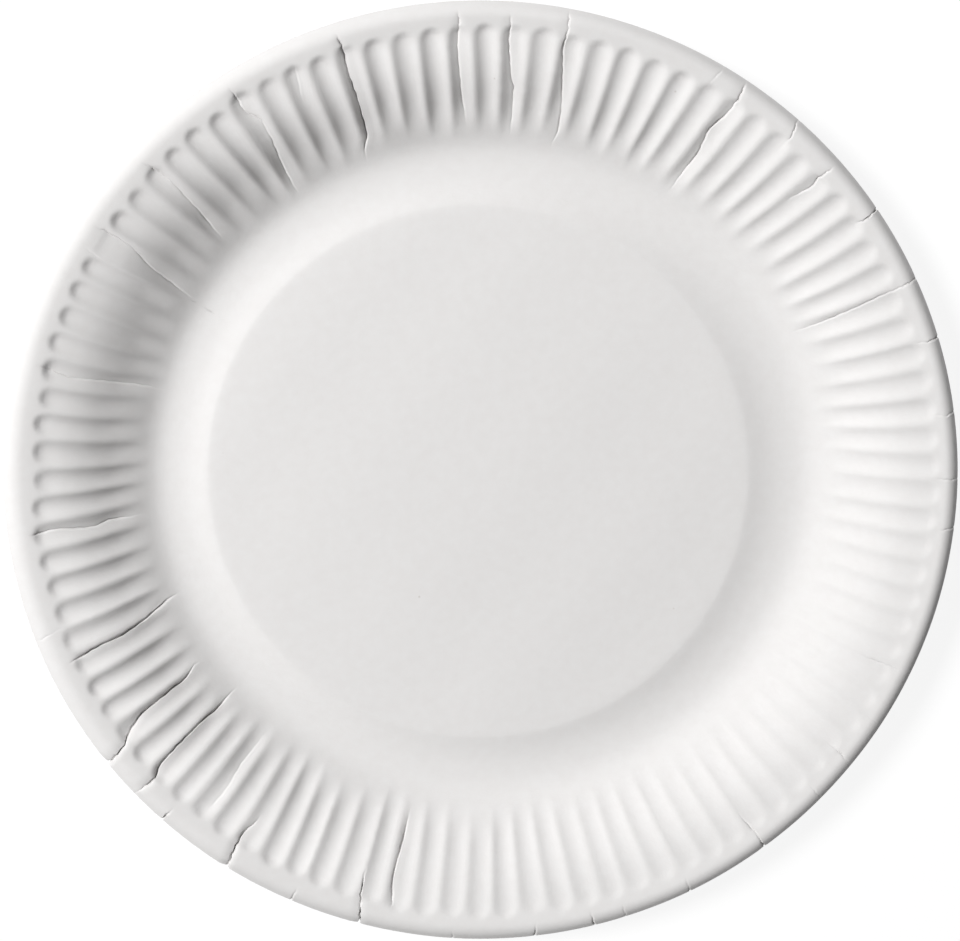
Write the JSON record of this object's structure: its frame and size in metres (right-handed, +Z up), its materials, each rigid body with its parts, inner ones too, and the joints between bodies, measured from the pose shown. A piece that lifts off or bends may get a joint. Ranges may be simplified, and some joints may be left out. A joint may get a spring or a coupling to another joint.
{
  "type": "paper plate",
  "caption": "Round disposable plate pressed from one sheet of white board, with a raised flat centre, a fluted wall and a rolled lip.",
  "frame": {"origin": "on the table, under the middle of the plate", "axes": "+Z up, out of the plate's well; +X to the right in the picture and +Y to its top"},
  "size_m": [0.23, 0.23, 0.017],
  "materials": {
    "board": "matt uncoated white board"
  },
  "bodies": {
    "root": {"plate": "board"}
  },
  "joints": []
}
